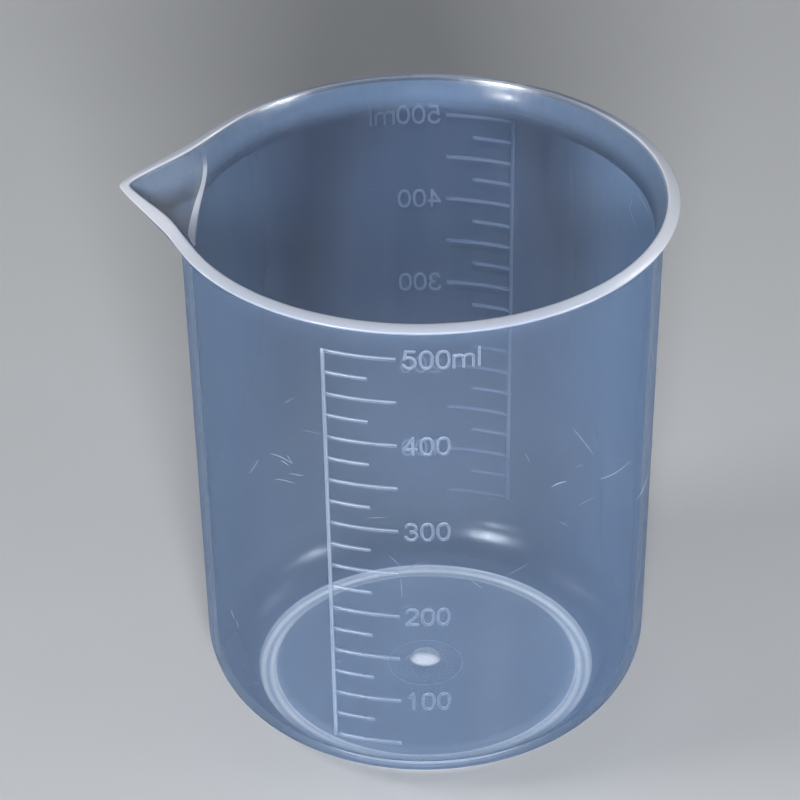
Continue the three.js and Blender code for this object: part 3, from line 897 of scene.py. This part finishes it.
# The rear scale and numerals are painted far paler than the front ones: a painted glow where the rear spot
# lights them from behind.
for side, middle, strength, number_strength in (
    ("front", FRONT, 0.32, 0.19),
    ("rear", REAR, 1.2, 1.2),
):
    marks = raised_scale(f"{side}_marks", middle, strength)
    finish_piece(marks, mark_plastic, (f"{side}_scale",))
    finish_piece(numerals(f"{side}_numerals", middle, number_strength), mark_plastic)
for name, listed, surface, scuffs in (
    ("outer_scratches", OUTER_SCRATCHES, on_wall, SCUFF_COUNT),
    ("inner_scratches", INNER_SCRATCHES, inside_wall, 0),
):
    finish_piece(wear(name, listed, surface, scuffs), scuffed_plastic)


# Stage, lights and camera
def stage_floor():
    size, level = 6.0, -0.05 * MM
    corners = [(-size, -size, level), (size, -size, level), (size, size, level), (-size, size, level)]
    floor = mesh_object("studio_floor", corners, [(0, 1, 2, 3)])
    material = bpy.data.materials.new("studio_floor")
    material.use_nodes = True
    tree = material.node_tree
    shader = tree.nodes["Principled BSDF"]
    place = node(tree, "ShaderNodeTexCoord").outputs["Object"]
    pale = blended(tree, noise(tree, place, 30.0), (0.52, 0.535, 0.555, 1), (0.54, 0.555, 0.575, 1))
    tree.links.new(pale, shader.inputs["Base Color"])
    shader.inputs["Roughness"].default_value = 0.7
    shader.inputs["Specular IOR Level"].default_value = 0.0
    floor.data.materials.append(material)


def area_light(name, azimuth, elevation, distance, size, power, glint=False):
    """A soft light aimed at the jug. Azimuth 0 is the front, and positive is to the right. A glint
    only shows as a highlight on gloss, and any other light leaves none."""
    lamp = bpy.data.lights.new(name, "AREA")
    lamp.shape = "RECTANGLE"
    lamp.size, lamp.size_y = size
    lamp.energy = power
    turn, rise = math.radians(azimuth), math.radians(elevation)
    aim = Vector((0, 0, 0.05))
    away = Vector((math.sin(turn) * math.cos(rise), -math.cos(turn) * math.cos(rise), math.sin(rise)))
    holder = bpy.data.objects.new(name, lamp)
    holder.location = aim + away * distance
    holder.rotation_euler = (-away).to_track_quat("-Z", "Y").to_euler()
    holder.visible_glossy, holder.visible_diffuse = glint, not glint
    bpy.context.scene.collection.objects.link(holder)


def overhead_spot(height, reach, power):
    """A narrow spot straight above the jug that lights the lip, the floor and the foot ring."""
    lamp = bpy.data.lights.new("overhead", "SPOT")
    lamp.energy = power
    lamp.color = (1.0, 0.92, 0.8)
    lamp.spot_size = 2 * math.atan(reach / (height - HEIGHT))
    lamp.spot_blend = 0.02
    lamp.shadow_soft_size = 0.001
    holder = bpy.data.objects.new("overhead", lamp)
    holder.visible_glossy = False
    holder.location = (0, 0, height)
    bpy.context.scene.collection.objects.link(holder)


def rear_spot(distance, elevation, reach, width_share, aim_height, power):
    """A narrow spot from behind that makes the rear marks glow."""
    lamp = bpy.data.lights.new("rear", "SPOT")
    lamp.energy = power
    lamp.color = (1.0, 0.96, 0.9)
    lamp.spot_size = 2 * math.atan(reach / distance)
    lamp.spot_blend = 0.3
    lamp.shadow_soft_size = 0.005
    rise = math.radians(elevation)
    away = Vector((0, math.cos(rise), math.sin(rise)))
    holder = bpy.data.objects.new("rear", lamp)
    holder.visible_glossy = False
    holder.location = Vector((0, wall_outer(0), aim_height)) + away * distance
    holder.scale.x = width_share
    holder.rotation_euler = (-away).to_track_quat("-Z", "Y").to_euler()
    bpy.context.scene.collection.objects.link(holder)


def photo_camera():
    """Camera at the photograph's angle, from a fit of the jug's outline."""
    azimuth, elevation, roll = math.radians(6.2), math.radians(32.93), math.radians(-0.68)
    distance = 746.1 * MM
    right = Vector((math.cos(azimuth), math.sin(azimuth), 0))
    back = Vector(
        (
            math.sin(azimuth) * math.cos(elevation),
            -math.cos(azimuth) * math.cos(elevation),
            math.sin(elevation),
        )
    )
    up = back.cross(right)
    target = right * (-4.39 * MM) + Vector((0, 0, 61.6 * MM))
    camera = bpy.data.cameras.new("camera")
    camera.sensor_width = 36
    camera.lens = 180.26
    camera.clip_start, camera.clip_end = 0.01, 30
    holder = bpy.data.objects.new("camera", camera)
    across = right * math.cos(roll) + up * math.sin(roll)
    upward = up * math.cos(roll) - right * math.sin(roll)
    turn = Matrix((across, upward, back)).transposed().to_4x4()
    holder.matrix_world = Matrix.Translation(target + back * distance) @ turn
    bpy.context.scene.collection.objects.link(holder)
    bpy.context.scene.camera = holder


stage_floor()
area_light("front_box", 8, 21, 1.8, (0.5, 0.3), 52)
area_light("left_box", -70, 40, 1.4, (0.4, 0.4), 6)
area_light("right_box", 75, 40, 1.4, (0.4, 0.4), 1.5)
area_light("left_glint", -37, 43, 1.4, (0.35, 0.35), 22, glint=True)
area_light("right_glint", 80, 39, 1.4, (0.3, 0.3), 17, glint=True)
area_light("rim_glint", -34, 18, 1.4, (0.2, 0.1), 3, glint=True)
area_light("rear_right_glint", 135, 42, 1.4, (0.3, 0.3), 6, glint=True)
area_light("rear_left_glint", -110, 36, 1.4, (0.1, 0.25), 3, glint=True)
overhead_spot(1.5, 30.4 * MM, 150)
rear_spot(1.5, 15, 48.5 * MM, 0.52, HEIGHT * 0.535, 225)
photo_camera()

scene = bpy.context.scene
scene.world = bpy.data.worlds.new("studio")
scene.world.use_nodes = True
scene.world.node_tree.nodes["Background"].inputs["Color"].default_value = (0.85, 0.9, 1.0, 1)
scene.world.node_tree.nodes["Background"].inputs["Strength"].default_value = 0.06
scene.view_settings.view_transform = "Standard"
scene.cycles.transparent_max_bounces = 32
